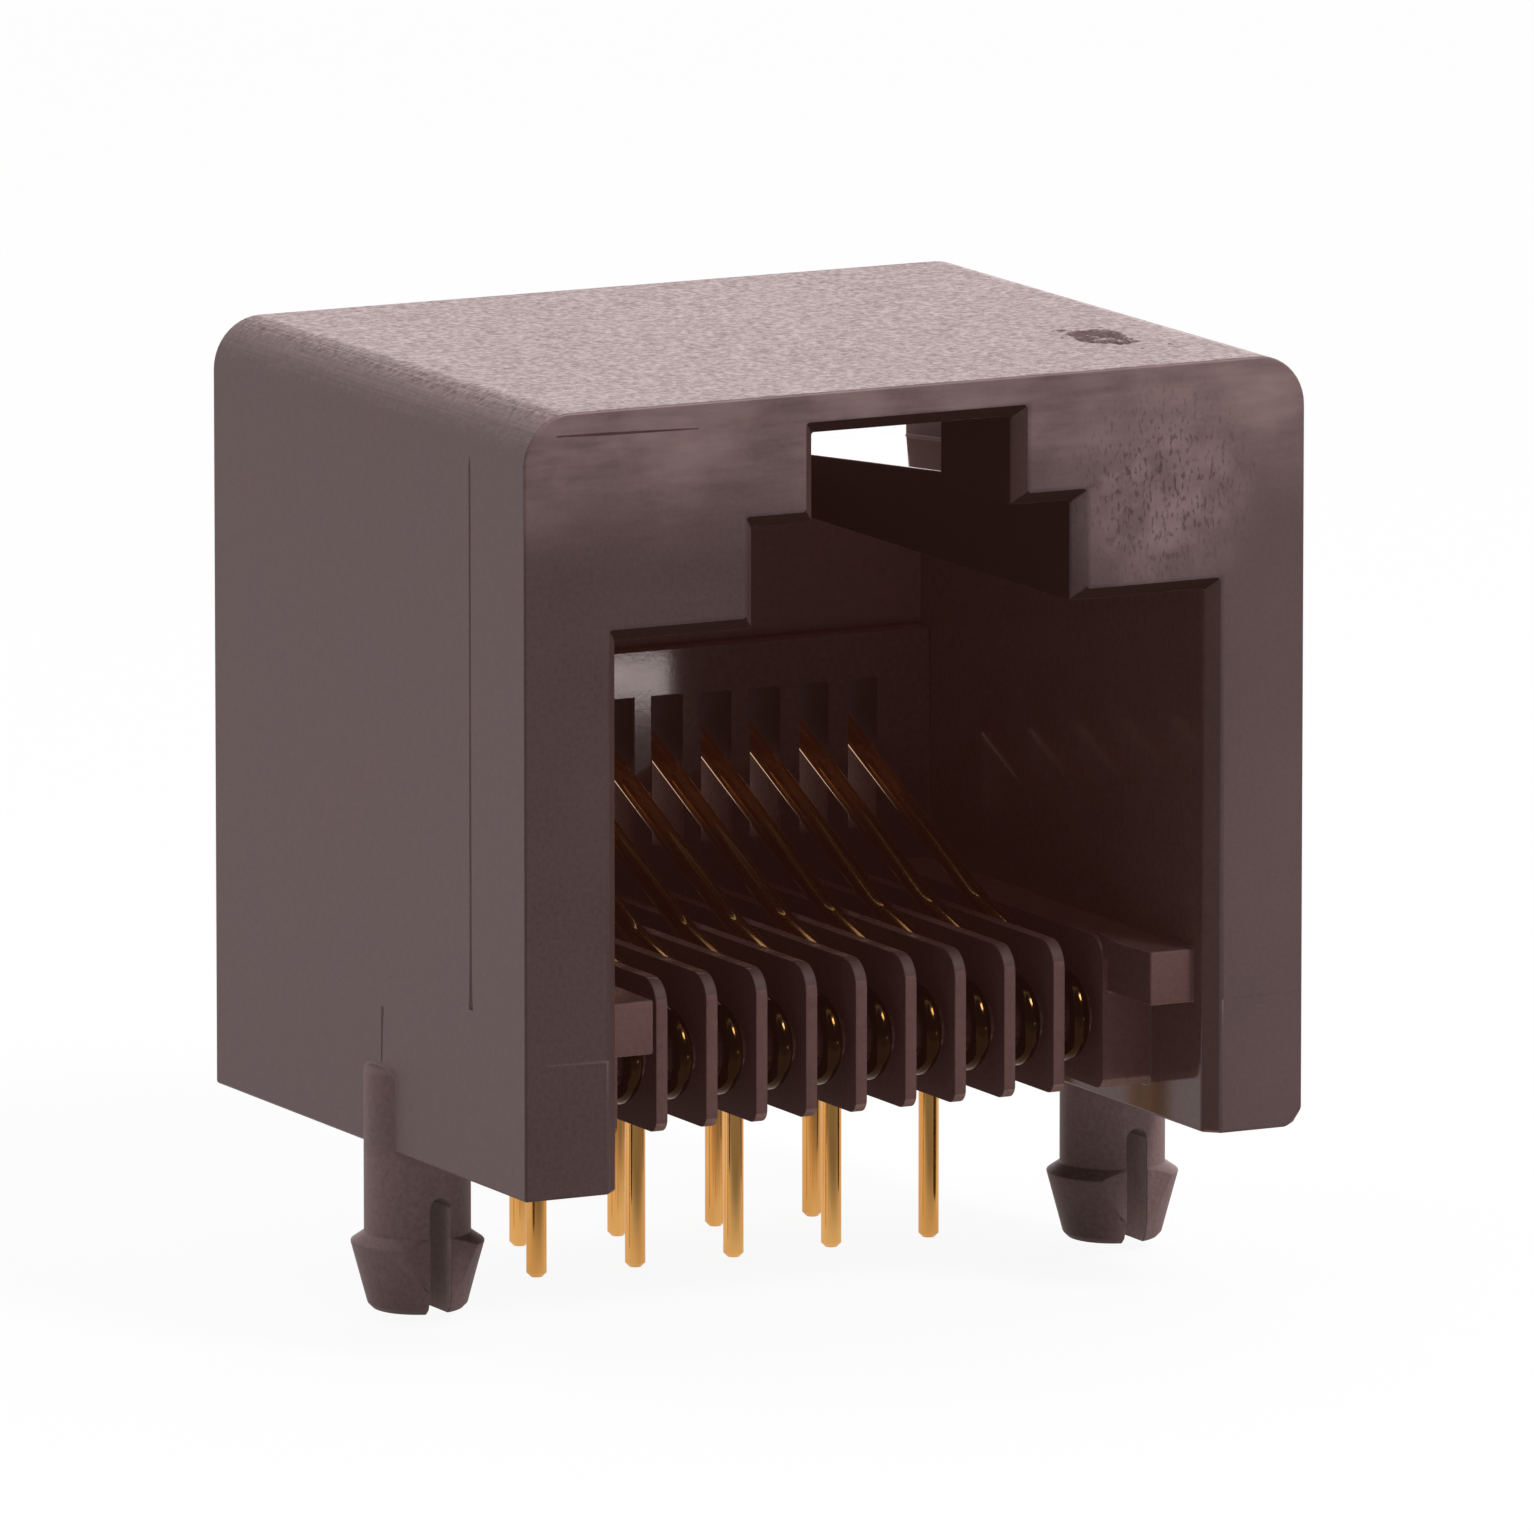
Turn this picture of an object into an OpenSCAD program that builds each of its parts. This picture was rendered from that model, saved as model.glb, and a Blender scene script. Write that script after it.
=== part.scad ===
// Side-entry modular jack for a circuit board: one moulded housing that holds a row of spring wire contacts.
// Sizes are in millimetres. +X is to the right seen from the front, +Y points to the rear and +Z points up.
// The origin lies on the board, midway between the two pegs.

/* [Plug opening] */
// Clear width for the plug
plug_w = 12; // [11.8:0.05:12.4]
// Clear height for the plug
plug_h = 6.7; // [6.6:0.05:7.2]
// Depth from the front face to the rear wall
plug_d = 11; // [10.6:0.05:11.8]
// Height of the plug floor above the board
plug_floor_z = 3.38; // [3.3:0.02:3.6]
// Width of the slot for the body of the latch
latch_w = 6.48; // [6.2:0.02:6.8]
// Height of that slot above the plug
latch_h = 1.85; // [1.6:0.05:2.1]
// Width of the slot for the lever of the latch
lever_w = 4.04; // [3.6:0.02:4.4]
// Height of that slot above the latch
lever_h = 1.63; // [1.4:0.01:1.9]
// Depth of the two shoulders that hold the latch
shoulder_d = 3; // [2.4:0.1:3.6]
// Bevel round the opening that leads the plug in
lead_in = 0.27; // [0.1:0.01:0.4]

/* [Walls] */
// Side wall beside the plug
side_wall = 1.95; // [1.7:0.05:2.3]
// Top wall above the lever slot
top_wall = 0.77; // [0.6:0.01:1.2]
// Rear wall behind the plug
rear_wall = 1.8; // [1.5:0.05:2.2]
// Radius of the two upper edges that run front to rear
top_edge_r = 0.95; // [0.5:0.05:1.2]
// Bevel on the lower right corner of the front face
corner_bevel = 0.34; // [0.2:0.02:0.5]

/* [Rear pocket] */
// Width of the pocket behind the latch shoulders
pocket_w = 12.84; // [12:0.02:13.2]
// Fall of the pocket floor to the rear, in degrees
pocket_fall = 5; // [2:0.5:7]
// Height of the guard band above the top of the rear slots
band_h = 0.88; // [0.6:0.02:1.2]
// How far the guard band stands proud of the rear wall
band_proud = 0.38; // [0.2:0.02:0.6]

/* [Comb] */
// Number of contacts
positions = 10; // [4:1:10]
// Pitch of the contacts
pitch = 1.02; // [0.98:0.01:1.08]
// Thickness of the fins between the contacts
fin_t = 0.24; // [0.16:0.02:0.3]
// Front of the comb behind the front face
comb_y = 2.2; // [2:0.05:2.4]
// Underside of the comb above the board
comb_z = 0.55; // [0.4:0.05:0.7]
// Radius of the upper front corner of the fins
fin_r = 0.5; // [0.2:0.05:0.7]
// Radius of the lower front corner of the fins
fin_toe_r = 0.25; // [0.1:0.05:0.4]

/* [Plug rails] */
// Width of the rail on each side wall
rail_w = 0.92; // [0.7:0.02:1]
// Thickness of the rail
rail_t = 1; // [0.7:0.05:1.3]
// Front of the rail behind the front face
rail_y = 0.55; // [0.4:0.05:1.2]

/* [Contacts] */
// Diameter of the contact wire
wire_d = 0.38; // [0.32:0.01:0.44]
// Radius of the front loop at the middle of the wire
loop_r = 0.67; // [0.6:0.01:0.72]
// Front of the wire behind the front of the comb
loop_setback = -0.01; // [-0.1:0.01:0.1]
// Height of the middle of the loop above the underside of the comb
loop_rise = 1.31; // [1.2:0.01:1.4]
// Rise of the wire after the loop, in degrees
first_rise = 15; // [10:0.5:17]
// Rise of the wire after the knee, in degrees
second_rise = 24.5; // [22:0.5:26]
// Knee of the wire behind the front face
knee_y = 6.3; // [5.5:0.1:7]
// Radius of the knee
knee_r = 2; // [1:0.1:4]
// Wire tip in front of the rear face
tip_inset = 0.52; // [0.3:0.02:1]
// Gap between a wire and the moulding that guides it
wire_gap = 0.02; // [0.01:0.01:0.04]
// Gap beside a wire in its rear slot
rear_gap = 0.105; // [0.06:0.005:0.15]
// Room under a wire in its rear slot, where it bends down
flex_room = 1.3; // [1:0.05:1.4]
// Room above a wire tip in its rear slot
tip_room = 0.53; // [0.3:0.01:0.8]
// Length of the solder tails below the board
tail_l = 3.25; // [2.5:0.05:4]
// Bevel on the end of the solder tails
tail_bevel = 0.08; // [0.02:0.01:0.12]

/* [Board pegs] */
// Pegs behind the front face
peg_y = 5.94; // [5.5:0.02:6.4]
// Peg axis in from the side face
peg_inset = 0.76; // [0.7:0.01:0.85]
// Radius of the peg stem
stem_r = 0.98; // [0.9:0.01:1.05]
// Height of the stem on the side wall above the board
boss_h = 1.5; // [1:0.05:2.5]
// Bevel round the top of the stem on the side wall
boss_bevel = 0.12; // [0.05:0.01:0.2]
// Length of the stem below the board
stem_l = 1.62; // [1.2:0.02:1.8]
// Length of the whole peg below the board
peg_l = 3.04; // [2.9:0.02:3.6]
// Radius of the barb
barb_r = 1.23; // [1.1:0.01:1.3]
// Height of the slope above the barb
barb_h = 0.17; // [0.1:0.01:0.3]
// Radius of the peg end
end_r = 0.92; // [0.7:0.01:1]
// Bevel round the peg end
end_bevel = 0.1; // [0.05:0.01:0.15]
// Width of the split in the peg
split_w = 0.42; // [0.3:0.02:0.6]
// Top of the split below the board
split_drop = 0.85; // [0.5:0.05:1.2]
// Front row of solder tails behind the pegs
tail_setback = 2.38; // [2:0.02:2.6]
// Distance between the two rows of solder tails
row_gap = 2.74; // [2.4:0.02:2.9]

/* [Hidden] */
$fn = 64;
// Overshoot of a cut past the face that it opens
cut = 1;
// Overlap that joins two parts of one moulding
join = 0.2;
// How far the straight wire reaches into its bends, and how much the wire swells where it is bent
bend_bite = 0.06;
bend_swell = 0.004;

housing_w = plug_w + 2 * side_wall;
housing_d = plug_d + rear_wall;
plug_top_z = plug_floor_z + plug_h;
latch_top_z = plug_top_z + latch_h;
lever_top_z = latch_top_z + lever_h;
housing_h = lever_top_z + top_wall;

wire_r = wire_d / 2;
slot_w = pitch - fin_t;
nose_r = loop_r - wire_r - bend_swell - wire_gap;
nose_y = comb_y + loop_setback + loop_r + wire_r;
nose_z = comb_z + loop_rise;
run_z = nose_z - loop_r;
tail_bend_r = run_z - comb_z;
first_tail_y = peg_y + tail_setback;

loop_end = [nose_y - loop_r * sin(first_rise), nose_z + loop_r * cos(first_rise)];
knee = [knee_y, loop_end.y + (knee_y - loop_end.x) * tan(first_rise)];
knee_leg = knee_r * tan((second_rise - first_rise) / 2);
tip_y = housing_d - tip_inset;

rear_slot_w = wire_d + 2 * rear_gap;
rear_slot_bottom_z = wire_z(plug_d) - wire_r / cos(second_rise) - flex_room;
rear_slot_top_z = wire_z(tip_y) + wire_r + tip_room;
band_top_z = rear_slot_top_z + band_h;
peg_x = housing_w / 2 - peg_inset;

MOULDING = [0.30, 0.25, 0.24];
GOLD = [0.83, 0.64, 0.30];

// Name of a contact, counted from the left seen from the front
function contact_name(i) = str("contact_", i < 9 ? "0" : "", i + 1);

// Place of a contact across the jack
function contact_x(i) = (i - (positions - 1) / 2) * pitch;

// Place of a solder tail, in two staggered rows
function tail_y(i) = first_tail_y + (i % 2 == 0 ? row_gap : 0);

// Height of the middle of the wire behind its knee
function wire_z(y) = knee.y + (y - knee_y) * tan(second_rise);

// Moves the shapes, which are drawn from the front face, to the frame of the board
module on_board() translate([0, -peg_y, 0]) children();

// Turns a side view, drawn with Y to the right and Z up, into a slab across the middle of the jack
module across(w) rotate([90, 0, 90]) linear_extrude(w, center = true) children();

// What a rounded corner takes off a square one that points to +X and +Y
module corner_waste(r) translate([-r, -r]) difference() {
    square(r + cut);
    circle(r);
}

// Outer form of the housing, with its two rounded upper edges
module outer_block() translate([0, housing_d, 0]) rotate([90, 0, 0]) linear_extrude(housing_d) difference() {
    translate([-housing_w / 2, 0]) square([housing_w, housing_h]);
    for (side = [0, 1]) mirror([side, 0]) translate([housing_w / 2, housing_h]) corner_waste(top_edge_r);
}

// Cut of one width into the front face, flared by the lead-in bevel and limited to the given side view
module flared_cut(w) intersection() {
    translate([0, 0, -cut]) linear_extrude(housing_h + 2 * cut) polygon([
        [-w / 2 - lead_in, -cut], [w / 2 + lead_in, -cut], [w / 2 + lead_in, 0], [w / 2, lead_in],
        [w / 2, housing_d + cut], [-w / 2, housing_d + cut], [-w / 2, lead_in], [-w / 2 - lead_in, 0]
    ]);
    across(w + 2 * lead_in + cut) children();
}

// Side view of a slot with a flared ceiling
module slot_view(bottom_z, top_z, depth) polygon([
    [-cut, bottom_z], [depth, bottom_z], [depth, top_z], [lead_in, top_z], [0, top_z + lead_in], [-cut, top_z + lead_in]
]);

// Side view of the space for the plug: in front of, under and above the comb, with the recess above the guard band
module plug_view() {
    slot_view(plug_floor_z, plug_top_z, plug_d);
    translate([-cut, -cut]) square([comb_y + cut, plug_floor_z + 2 * cut]);
    translate([-cut, -cut]) square([housing_d + 2 * cut, comb_z + cut]);
    translate([plug_d - cut, band_top_z]) square([band_proud + cut, plug_top_z - band_top_z]);
    translate([comb_y, plug_floor_z]) mirror([1, 0]) corner_waste(fin_r);
    translate([comb_y, comb_z]) mirror([1, 0]) mirror([0, 1]) corner_waste(fin_toe_r);
}

// The stepped opening: plug, latch and lever, and the pocket behind the latch shoulders
module openings() {
    flared_cut(plug_w) plug_view();
    flared_cut(latch_w) slot_view(plug_top_z - cut, latch_top_z, plug_d + band_proud);
    flared_cut(lever_w) slot_view(latch_top_z - cut, lever_top_z, shoulder_d + join);
    across(pocket_w) polygon([
        [shoulder_d, latch_top_z], [shoulder_d, lever_top_z], [housing_d + cut, lever_top_z],
        [housing_d + cut, latch_top_z - (housing_d + cut - shoulder_d) * tan(pocket_fall)]
    ]);
}

// Rails on the side walls that carry the edges of the plug in front of the comb
module rails() for (side = [0, 1]) mirror([side, 0, 0])
    translate([plug_w / 2 - rail_w, rail_y, plug_floor_z - rail_t])
        cube([rail_w + join, comb_y + fin_r + join - rail_y, rail_t]);

// Cut for one wire in the comb: round the nose, above it to the rear wall and below it to the tail
module wire_slot(i) translate([contact_x(i), 0, 0]) across(slot_w) difference() {
    union() {
        translate([comb_y - cut, nose_z]) square([plug_d - comb_y + cut, plug_floor_z - nose_z + cut]);
        translate([comb_y - cut, comb_z - cut])
            square([tail_y(i) + slot_w / 2 - comb_y + cut, nose_z - comb_z + 2 * cut]);
    }
    translate([nose_y, nose_z]) circle(nose_r);
    translate([nose_y, nose_z - nose_r]) square([housing_d, 2 * nose_r]);
}

// Slot through the rear wall in which one wire tip bends up and down
module rear_slot(i) translate([contact_x(i) - rear_slot_w / 2, plug_d - join, rear_slot_bottom_z])
    cube([rear_slot_w, rear_wall + join + cut, rear_slot_top_z - rear_slot_bottom_z]);

// Side view of one half of a peg, to be turned about its axis
module peg_half_view() polygon([
    [0, -peg_l], [end_r - end_bevel, -peg_l], [end_r, -peg_l + end_bevel], [barb_r, -stem_l - barb_h],
    [stem_r, -stem_l], [stem_r, boss_h - boss_bevel], [stem_r - boss_bevel, boss_h], [0, boss_h]
]);

// Barbed peg with flat front and rear faces below its stem
module peg() intersection() {
    rotate_extrude() peg_half_view();
    translate([-barb_r - cut, -stem_r, -peg_l - cut])
        cube([2 * (barb_r + cut), 2 * stem_r, peg_l + boss_h + 2 * cut]);
}

// Split that lets the barb spring in as it passes through the board
module peg_split() rotate([90, 0, 0]) linear_extrude(2 * (stem_r + cut), center = true) {
    translate([0, -split_drop - split_w / 2]) circle(split_w / 2);
    translate([-split_w / 2, -peg_l - cut]) square([split_w, peg_l + cut - split_drop - split_w / 2]);
}

// What the bevel takes off the lower right corner of the front face
module corner_cut() translate([housing_w / 2, 0, 0]) rotate([0, -atan(1 / sqrt(2)), 135])
    cube([2 * corner_bevel / sqrt(3), 4 * corner_bevel, 4 * corner_bevel], center = true);

// Places what follows at both pegs
module at_pegs() for (side = [-1, 1]) translate([side * peg_x, peg_y, 0]) children();

module housing() color(MOULDING) on_board() difference() {
    union() {
        difference() {
            outer_block();
            openings();
        }
        rails();
        at_pegs() peg();
    }
    for (i = [0 : positions - 1]) {
        wire_slot(i);
        rear_slot(i);
    }
    at_pegs() peg_split();
    corner_cut();
}

// Straight stretch of wire along its heading, which is +Z here, with the rest of the wire at its end
module run(length) {
    translate([0, 0, -bend_bite]) cylinder(h = length + 2 * bend_bite, r = wire_r);
    translate([0, 0, length]) children();
}

// Bend of the wire towards +X, or towards -X for a negative turn, with the rest of the wire at its end
module bend(r, turn) {
    middle = sign(turn) * r;
    translate([middle, 0, 0]) {
        rotate([90, 0, 0]) rotate([0, 0, turn > 0 ? 180 - turn : 0])
            rotate_extrude(angle = abs(turn)) translate([r, 0]) circle(wire_r + bend_swell);
        rotate([0, turn, 0]) translate([-middle, 0, 0]) children();
    }
}

// Solder tail with a bevelled end, up to its bend in the channel, with the rest of the wire at its end
module tail() {
    rotate_extrude() polygon([
        [0, 0], [wire_r - tail_bevel, 0], [wire_r, tail_bevel],
        [wire_r, tail_l + comb_z + bend_bite], [0, tail_l + comb_z + bend_bite]
    ]);
    translate([0, 0, tail_l + comb_z]) children();
}

// Spring wire, followed from the end of its tail: channel, front loop, first rise, knee and second rise
module contact(i) color(GOLD) on_board() translate([contact_x(i), tail_y(i), -tail_l]) rotate([0, 0, -90])
    tail()
    bend(tail_bend_r, 90)
    run(tail_y(i) - tail_bend_r - nose_y)
    bend(loop_r, first_rise - 180)
    run((knee_y - loop_end.x) / cos(first_rise) - knee_leg)
    bend(knee_r, second_rise - first_rise)
    run((tip_y - knee_y) / cos(second_rise) - knee_leg - bend_bite);

housing();
for (i = [0 : positions - 1]) contact(i);
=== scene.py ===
"""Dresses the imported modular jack: moulded housing, gold spring wires, studio and camera."""

import logging
import math
from dataclasses import dataclass, field
from enum import Enum

import bmesh
import bpy
from mathutils import Matrix, Vector, noise


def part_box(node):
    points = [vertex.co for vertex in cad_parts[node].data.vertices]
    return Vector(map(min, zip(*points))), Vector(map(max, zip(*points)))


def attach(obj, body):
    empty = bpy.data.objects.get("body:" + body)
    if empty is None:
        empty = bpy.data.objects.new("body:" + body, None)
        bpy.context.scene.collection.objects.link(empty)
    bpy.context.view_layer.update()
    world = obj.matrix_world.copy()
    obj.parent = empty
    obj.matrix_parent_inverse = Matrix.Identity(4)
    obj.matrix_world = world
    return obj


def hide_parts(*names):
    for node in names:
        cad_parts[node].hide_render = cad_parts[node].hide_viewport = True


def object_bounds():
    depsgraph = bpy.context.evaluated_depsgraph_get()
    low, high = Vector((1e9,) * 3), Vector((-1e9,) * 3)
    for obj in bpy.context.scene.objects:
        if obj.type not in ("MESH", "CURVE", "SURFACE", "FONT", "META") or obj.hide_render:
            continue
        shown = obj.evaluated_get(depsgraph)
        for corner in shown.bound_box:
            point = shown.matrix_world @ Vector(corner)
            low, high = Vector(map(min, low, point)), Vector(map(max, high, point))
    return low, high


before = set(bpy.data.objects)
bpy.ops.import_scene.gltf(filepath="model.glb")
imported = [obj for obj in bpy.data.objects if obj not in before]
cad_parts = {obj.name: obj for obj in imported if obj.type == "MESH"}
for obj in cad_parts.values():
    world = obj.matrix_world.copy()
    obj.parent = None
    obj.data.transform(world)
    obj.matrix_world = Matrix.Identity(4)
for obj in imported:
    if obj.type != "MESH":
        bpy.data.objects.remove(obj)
CAD_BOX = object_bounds()

LOG = logging.getLogger("modular_jack")
MM = 0.001
Color = tuple[float, float, float]
Point = tuple[float, float, float]
Span = tuple[float, float]
Socket = bpy.types.NodeSocket
WHITE: Color = (1.0, 1.0, 1.0)
BLACK: Color = (0.0, 0.0, 0.0)
# Tint of the studio's light
WARM: Color = (1.0, 0.87, 0.87)
# Painted glow of the dark faces deep in the housing and of the wires there: they glow though they are no
# lamps, standing in for the lens's veiling glare
PAINTED_GLARE: Color = (0.0135, 0.0045, 0.0034)
# Number of finer octaves of a noise, and their weights
OCTAVES = 3.0
FINE_WEIGHT = 0.65
EVEN_WEIGHT = 0.6
CLOUD_WEIGHT = 0.55


class RayKind(Enum):
    """Light Path outputs that see the white backdrop."""

    CAMERA = "Is Camera Ray"
    GLOSSY = "Is Glossy Ray"
    TRANSMISSION = "Is Transmission Ray"


class Zone(Enum):
    """Parts of the housing that come from different faces of the mould, in the order of their finishes,
    which also carry painted light and shade.
    """

    SIDE = 0
    FRONT = 1
    TOP = 2
    CORE = 3
    SLOT = 4
    PEG = 5
    SLIT = 6
    WELL = 7
    LEAD = 8
    FIN = 9
    SCAR = 10


class Facing:
    """Least share of a face's normal along an axis, from barely turned that way to exactly square."""

    BARELY: float = 0.05
    LEANING: float = 0.3
    PARTLY: float = 0.4
    MOSTLY: float = 0.7
    SQUARE: float = 0.95
    EXACT: float = 0.998


def opaque(color: Color) -> tuple[float, float, float, float]:
    """Gives a colour with full alpha, as a colour socket takes it."""
    return (*color, 1.0)


def metres(span: Span) -> Span:
    """Turns a range in millimetres into metres."""
    return (span[0] * MM, span[1] * MM)


def waves(size_mm: float) -> float:
    """Gives the number of waves in a metre, from the size of one in millimetres."""
    return 1 / (size_mm * MM)


class Graph:
    """Small helper that adds nodes to a tree and links them."""

    def __init__(self, tree: bpy.types.NodeTree) -> None:
        """Keeps the tree and empties it.

        Args:
            tree: node tree of a material, world or group.
        """
        self.tree = tree
        tree.nodes.clear()

    def put(self, socket: Socket, value: object) -> None:
        """Links a socket to another one, or sets its constant.

        Args:
            socket: input socket.
            value: an output socket or a constant.
        """
        if isinstance(value, Socket):
            self.tree.links.new(value, socket)
        else:
            socket.default_value = value

    def fill(self, node: bpy.types.Node, inputs: dict[str, object]) -> bpy.types.Node:
        """Sets or links a node's inputs.

        Args:
            node: node of this tree.
            inputs: sockets or constants by input name, with underscores for spaces.

        Returns:
            The same node.
        """
        for name, value in inputs.items():
            self.put(node.inputs[name.replace("_", " ")], value)
        return node

    def add(self, kind: str, **inputs: object) -> bpy.types.Node:
        """Adds a node.

        Args:
            kind: node type name.
            inputs: sockets or constants by input name, with underscores for spaces.

        Returns:
            The new node.
        """
        return self.fill(self.tree.nodes.new(kind), inputs)

    def place(self, group: bpy.types.NodeTree, **inputs: object) -> bpy.types.Node:
        """Adds a shared effect.

        Args:
            group: node group of the effect.
            inputs: sockets or constants by input name, with underscores for spaces.

        Returns:
            The group node.
        """
        node = self.tree.nodes.new("ShaderNodeGroup")
        node.node_tree = group
        return self.fill(node, inputs)

    def operate(self, kind: str, operation: str, values: tuple[object, ...]) -> bpy.types.Node:
        """Adds a node that works out one operation.

        Args:
            kind: node type name.
            operation: name of the operation.
            values: sockets or constants, in order.

        Returns:
            The new node.
        """
        node = self.tree.nodes.new(kind)
        node.operation = operation
        for socket, value in zip(node.inputs, values):
            self.put(socket, value)
        return node

    def math(self, operation: str, *values: object) -> Socket:
        """Adds a Math node and gives its result."""
        return self.operate("ShaderNodeMath", operation, values).outputs[0]

    def vector(self, operation: str, *values: object) -> bpy.types.Node:
        """Adds a Vector Math node, whose Vector or Value output holds the result."""
        return self.operate("ShaderNodeVectorMath", operation, values)

    def axis(self, vector: Socket, name: str) -> Socket:
        """Gives the X, Y or Z of a vector."""
        return self.add("ShaderNodeSeparateXYZ", Vector=vector).outputs[name]

    def stretch(self, vector: Socket, scale: Point) -> Socket:
        """Scales coordinates along their axes; a pattern gets longer where the scale is small."""
        return self.add("ShaderNodeMapping", Vector=vector, Scale=scale).outputs[0]

    def centred(self, value: Socket) -> Socket:
        """Moves a noise that is about 0.5 on average to about 0."""
        return self.math("SUBTRACT", value, 0.5)

    def ramp(self, value: object, low: float, high: float, out_low: object = 0.0, out_high: object = 1.0,
             smooth: bool = True) -> Socket:
        """Maps a value from one range to another, clamped at both ends.

        Args:
            value: socket to map.
            low: value that gives out_low.
            high: value that gives out_high.
            out_low: result at low.
            out_high: result at high.
            smooth: eases in and out of the ends.

        Returns:
            The result socket.
        """
        node = self.tree.nodes.new("ShaderNodeMapRange")
        node.interpolation_type = "SMOOTHSTEP" if smooth else "LINEAR"
        ends = {"From Min": low, "From Max": high, "To Min": out_low, "To Max": out_high}
        return self.fill(node, {"Value": value, **ends}).outputs[0]

    def pick(self, share: Socket, first: object, second: object) -> Socket:
        """Mixes two values evenly by a share from 0 to 1, where 1 gives the second."""
        return self.ramp(share, 0.0, 1.0, first, second, smooth=False)

    def noise(self, vector: Socket, size: object, weight: float = EVEN_WEIGHT) -> Socket:
        """Adds a Noise Texture.

        Args:
            vector: coordinates.
            size: number of waves in a metre.
            weight: weight of the finer octaves.

        Returns:
            The value socket, about 0.5 on average.
        """
        node = self.add("ShaderNodeTexNoise", Vector=vector, Scale=size, Detail=OCTAVES, Roughness=weight)
        return node.outputs["Fac"]

    def blend(self, share: object, first: object, second: object) -> Socket:
        """Mixes two colours.

        Args:
            share: how much of the second colour shows.
            first: socket or colour.
            second: socket or colour.

        Returns:
            The colour socket.
        """
        node = self.tree.nodes.new("ShaderNodeMix")
        node.data_type = "RGBA"
        slots = {s.identifier: s for s in node.inputs}
        self.put(slots["Factor_Float"], share)
        self.put(slots["A_Color"], first)
        self.put(slots["B_Color"], second)
        return next(s for s in node.outputs if s.identifier == "Result_Color")

    def shade(self, colour: object, tone: Socket) -> Socket:
        """Makes a colour lighter or darker.

        Args:
            colour: socket or colour.
            tone: factor of the colour.

        Returns:
            The colour socket.
        """
        node = self.vector("SCALE", colour)
        self.put(node.inputs["Scale"], tone)
        return node.outputs["Vector"]


def new_group(name: str, kind: str, inputs: dict[str, str],
              outputs: dict[str, str]) -> tuple[Graph, bpy.types.Node]:
    """Starts a node group.

    Args:
        name: name of the group.
        kind: type of its tree.
        inputs: socket types by input name.
        outputs: socket types by output name.

    Returns:
        The graph of the group and its input node.
    """
    tree = bpy.data.node_groups.new(name, kind)
    for way, sockets in (("INPUT", inputs), ("OUTPUT", outputs)):
        for label, socket_type in sockets.items():
            tree.interface.new_socket(label, in_out=way, socket_type=socket_type)
    graph = Graph(tree)
    return graph, graph.add("NodeGroupInput")


def new_material(name: str) -> tuple[bpy.types.Material, Graph, Socket]:
    """Starts a material.

    Args:
        name: name of the material.

    Returns:
        The material, its graph and the socket of its object coordinates.
    """
    material = bpy.data.materials.new(name)
    material.use_nodes = True
    graph = Graph(material.node_tree)
    return material, graph, graph.add("ShaderNodeTexCoord").outputs["Object"]


def plain_mesh(carrier: bpy.types.Object) -> bpy.types.Mesh:
    """Makes a plain mesh of the shape that an object's modifiers give it."""
    ready = carrier.evaluated_get(bpy.context.evaluated_depsgraph_get())
    return bpy.data.meshes.new_from_object(ready)


def mould_grain() -> bpy.types.NodeTree:
    """Makes the shared effect of a spark-eroded mould face: fine grain over slow clouds.

    Returns:
        The node group, with a Height for bump, and a Cloud and a Speckle about 0.
    """
    value = "NodeSocketFloat"
    graph, given = new_group(
        "mould_grain", "ShaderNodeTree",
        {"Vector": "NodeSocketVector", "Grain": value, "Clouds": value},
        {"Height": value, "Speckle": value, "Cloud": value},
    )
    fine = graph.noise(given.outputs["Vector"], given.outputs["Grain"], FINE_WEIGHT)
    cloud = graph.noise(given.outputs["Vector"], given.outputs["Clouds"], CLOUD_WEIGHT)
    graph.add("NodeGroupOutput", Height=fine, Speckle=graph.centred(fine), Cloud=graph.centred(cloud))
    return graph.tree


@dataclass(frozen=True)
class PaintedShading:
    """Painted light or shade that changes with height: the factor of the base colour above a range in
    millimetres.
    """

    rise: Span
    share: float


@dataclass(frozen=True)
class TopSkin:
    """Skin of the top: gloss broken by the grain where it is level, cutter lines along its rounded edges.

    Places are in millimetres, and waves are counted in a metre.
    """

    level_z: Span = (14.0, 14.3)
    coat: float = 0.6
    coat_speckle: float = 3.0
    coat_roughness: float = 0.36
    line_x: Span = (6.9, 7.4)
    line_depth: float = 7.0
    line_waves: float = 8000.0
    line_stretch: Point = (1.0, 0.02, 1.0)

    def level(self, graph: Graph, place: Socket) -> Socket:
        """Adds a mask that is 1 on the level top and 0 on its rounded edges."""
        return graph.ramp(graph.axis(place, "Z"), *metres(self.level_z))

    def relief(self, graph: Graph, place: Socket, height: Socket) -> Socket:
        """Takes the grain off the rounded edges and adds the cutter lines there.

        Args:
            graph: tree of the material.
            place: object coordinates.
            height: height of the grain.

        Returns:
            The new height.
        """
        lines = graph.centred(graph.noise(graph.stretch(place, self.line_stretch), self.line_waves))
        across = graph.math("ABSOLUTE", graph.axis(place, "X"))
        depth = graph.ramp(across, *metres(self.line_x), 0.0, self.line_depth)
        flat = graph.math("MULTIPLY", height, self.level(graph, place))
        return graph.math("ADD", flat, graph.math("MULTIPLY", lines, depth))

    def gloss(self, graph: Graph, place: Socket, speckle: Socket, shader: bpy.types.Node) -> None:
        """Coats the shader.

        Args:
            graph: tree of the material.
            place: object coordinates.
            speckle: grain about 0.
            shader: shader of the material.
        """
        share = graph.math("MULTIPLY", speckle, self.level(graph, place))
        weight = graph.math("MULTIPLY_ADD", share, self.coat_speckle, self.coat)
        graph.fill(shader, {"Coat Weight": weight, "Coat Roughness": self.coat_roughness})


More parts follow.
